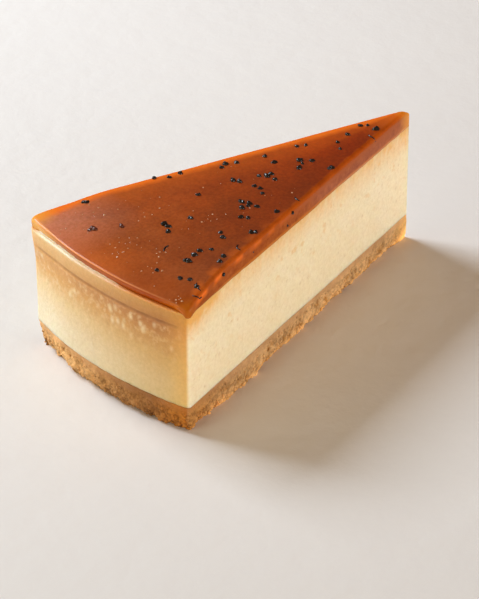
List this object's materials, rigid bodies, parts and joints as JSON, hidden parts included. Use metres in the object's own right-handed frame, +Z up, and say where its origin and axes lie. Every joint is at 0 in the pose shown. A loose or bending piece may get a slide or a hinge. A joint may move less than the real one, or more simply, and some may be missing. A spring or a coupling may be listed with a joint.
{
  "type": "baked cheesecake slice",
  "caption": "Wedge of baked cheesecake with a crumb base, a pale baked filling and a glossy caramel glaze scattered with black specks.",
  "frame": {"origin": "middle of the slice's footprint, on the surface that it stands on", "axes": "+X from the rounded rim to the pointed end, +Z up, +Y to the left of someone who looks along +X"},
  "size_m": [0.1206, 0.0638, 0.0444],
  "materials": {
    "crumb": "rough pressed biscuit crumb, stands in for food",
    "filling": "smooth baked cream cheese with a satin face, browned at the rim, stands in for food",
    "glaze": "glossy translucent caramel with black glossy specks, stands in for food"
  },
  "bodies": {
    "root": {"crumb_base": "crumb", "filling": "filling", "glaze": "glaze"}
  },
  "joints": []
}
